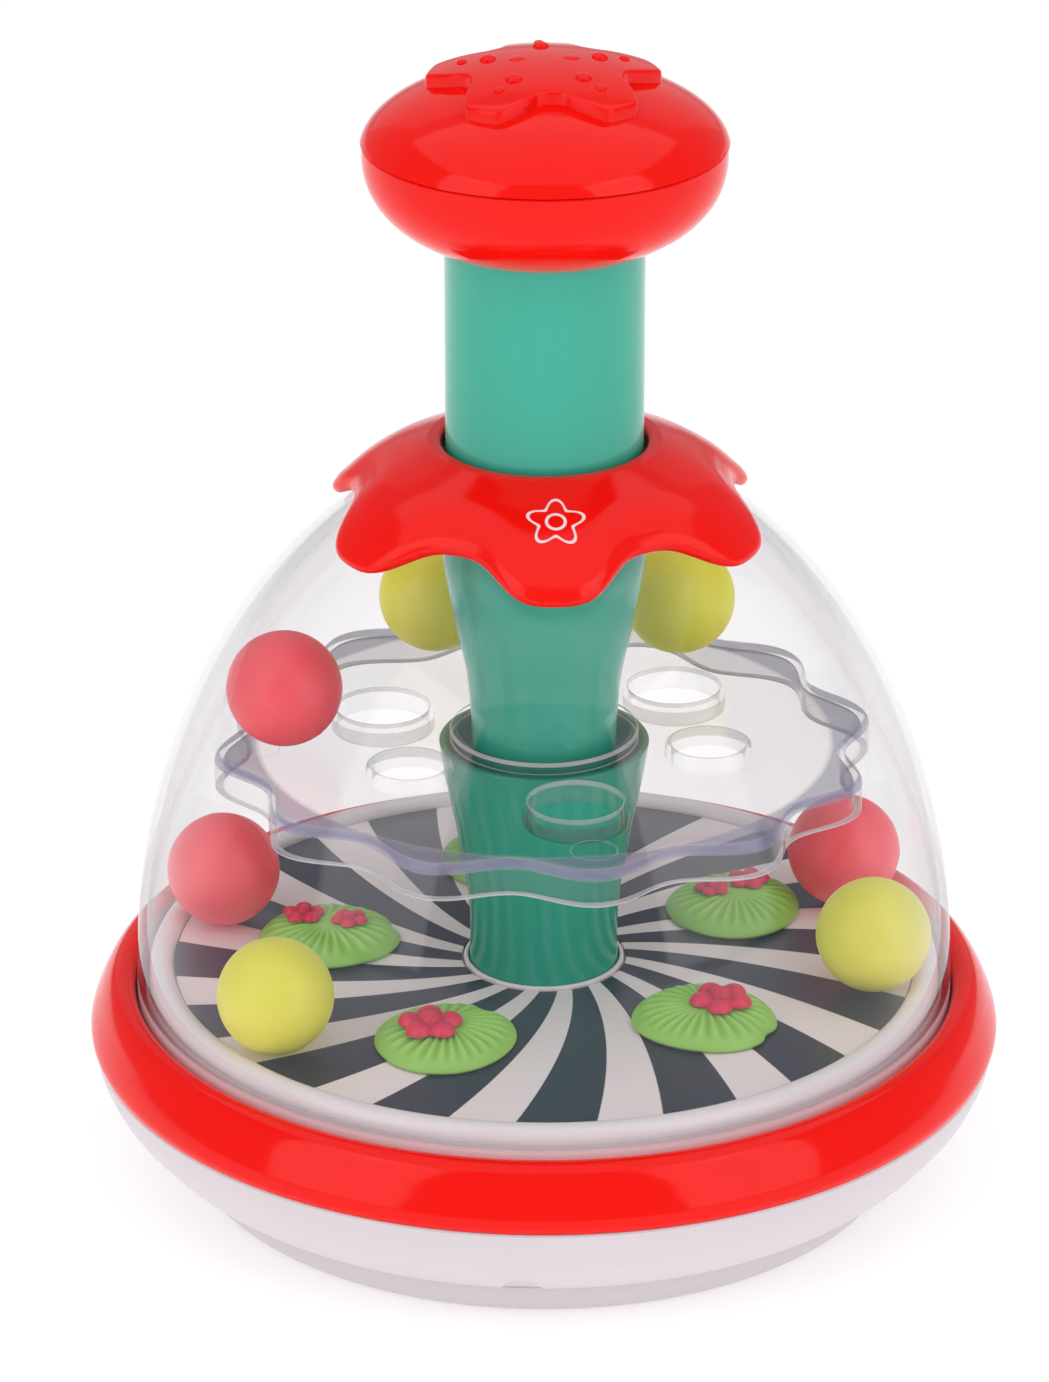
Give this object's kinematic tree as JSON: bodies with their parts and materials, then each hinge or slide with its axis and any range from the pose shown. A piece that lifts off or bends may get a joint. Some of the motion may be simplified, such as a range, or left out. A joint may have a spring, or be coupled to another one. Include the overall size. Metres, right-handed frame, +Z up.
{
  "type": "push-and-spin ball popper toy",
  "caption": "Push-down toy: a palm knob drives a striped turntable under a clear dome, where loose hollow balls pop on the disc and a scalloped tray.",
  "frame": {"origin": "centre of the flat underside, on the surface that the toy stands on", "axes": "+Z up along the spin axis, -Y towards the front with the half-moon recess"},
  "size_m": [0.216, 0.2148, 0.2691],
  "materials": {
    "gloss_red": "high gloss moulded",
    "satin_teal": "satin moulded",
    "satin_white": "satin moulded",
    "clear_plastic": "clear moulded plastic",
    "bearing_grey": "unpolished moulded",
    "bright_steel": "plated",
    "printed_stripe": "printed swirl stripes",
    "leaf_green": "satin moulded",
    "petal_pink": "satin moulded",
    "ball_yellow": "satin moulded",
    "ball_pink": "satin moulded"
  },
  "bodies": {
    "housing": {"base_bowl": "satin_white", "base_cover": "satin_white", "bumper_ring": "gloss_red", "dome": "clear_plastic", "collar": "gloss_red", "guide_bush": "bearing_grey", "bearing_washer": "bearing_grey", "return_spring": "bright_steel", "base_screw_1": "bright_steel", "base_screw_2": "bright_steel", "base_screw_3": "bright_steel"},
    "rotor": {"turntable": "satin_white", "stripe_disc": "printed_stripe", "hub_ring": "satin_white", "cup_column": "satin_teal", "spinner_tray": "clear_plastic", "clutch_ring": "bearing_grey", "clutch_cap": "bearing_grey", "spring_washer": "bright_steel", "lily_pad_1": "leaf_green", "lily_pad_2": "leaf_green", "lily_pad_3": "leaf_green", "lily_pad_4": "leaf_green", "lily_pad_5": "leaf_green", "flower_1": "petal_pink", "flower_2": "petal_pink", "flower_3": "petal_pink", "flower_4": "petal_pink", "flower_5": "petal_pink", "flower_6": "petal_pink", "flower_7": "petal_pink"},
    "plunger": {"plunger_tube": "satin_teal", "drive_strip": "bright_steel", "knob_bottom": "gloss_red", "knob_top": "gloss_red", "knob_screw_1": "bright_steel", "knob_screw_2": "bright_steel", "knob_screw_3": "bright_steel"},
    "clutch_nut": {"clutch_nut": "bearing_grey"},
    "ball_1": {"ball_1": "ball_yellow"},
    "ball_2": {"ball_2": "ball_yellow"},
    "ball_3": {"ball_3": "ball_pink"},
    "ball_4": {"ball_4": "ball_pink"},
    "ball_5": {"ball_5": "ball_pink"},
    "ball_6": {"ball_6": "ball_yellow"},
    "ball_7": {"ball_7": "ball_yellow"}
  },
  "joints": [
    {"name": "turntable_spin", "type": "hinge", "parent": "housing", "child": "rotor", "pos_m": [0, 0, 0.0493], "axis": [0, 0, 1], "continuous": true},
    {"name": "plunger_press", "type": "slide", "parent": "housing", "child": "plunger", "axis": [0, 0, -1], "range_m": [0, 0.022], "stiffness_N_per_m": 200, "springref_m": -0.03, "deforming": ["return_spring"]},
    {"name": "clutch_nut_turn", "type": "hinge", "parent": "housing", "child": "clutch_nut", "pos_m": [0, 0, 0.057], "axis": [0, 0, 1], "range_deg": [0, 270]},
    {"name": "ball_1_hop", "type": "slide", "parent": "rotor", "child": "ball_1", "axis": [0.2666, 0.2143, 0.9397], "range_m": [0, 0.012]},
    {"name": "ball_2_hop", "type": "slide", "parent": "rotor", "child": "ball_2", "axis": [-0.3337, 0.0752, 0.9397], "range_m": [0, 0.012]},
    {"name": "ball_3_hop", "type": "slide", "parent": "rotor", "child": "ball_3", "axis": [0.3324, -0.0804, 0.9397], "range_m": [0, 0.012]},
    {"name": "ball_4_hop", "type": "slide", "parent": "rotor", "child": "ball_4", "axis": [-0.3169, -0.1287, 0.9397], "range_m": [0, 0.012]},
    {"name": "ball_5_hop", "type": "slide", "parent": "rotor", "child": "ball_5", "axis": [0.7015, 0.0886, 0.7071], "range_m": [0, 0.008]},
    {"name": "ball_6_hop", "type": "slide", "parent": "rotor", "child": "ball_6", "axis": [0.3352, -0.6226, 0.7071], "range_m": [0, 0.008]},
    {"name": "ball_7_hop", "type": "slide", "parent": "rotor", "child": "ball_7", "axis": [-0.4015, -0.582, 0.7071], "range_m": [0, 0.008]}
  ],
  "couplings": [
    {"joint": "clutch_nut_turn", "follows": "plunger_press", "rad_per_m": 209.44}
  ]
}
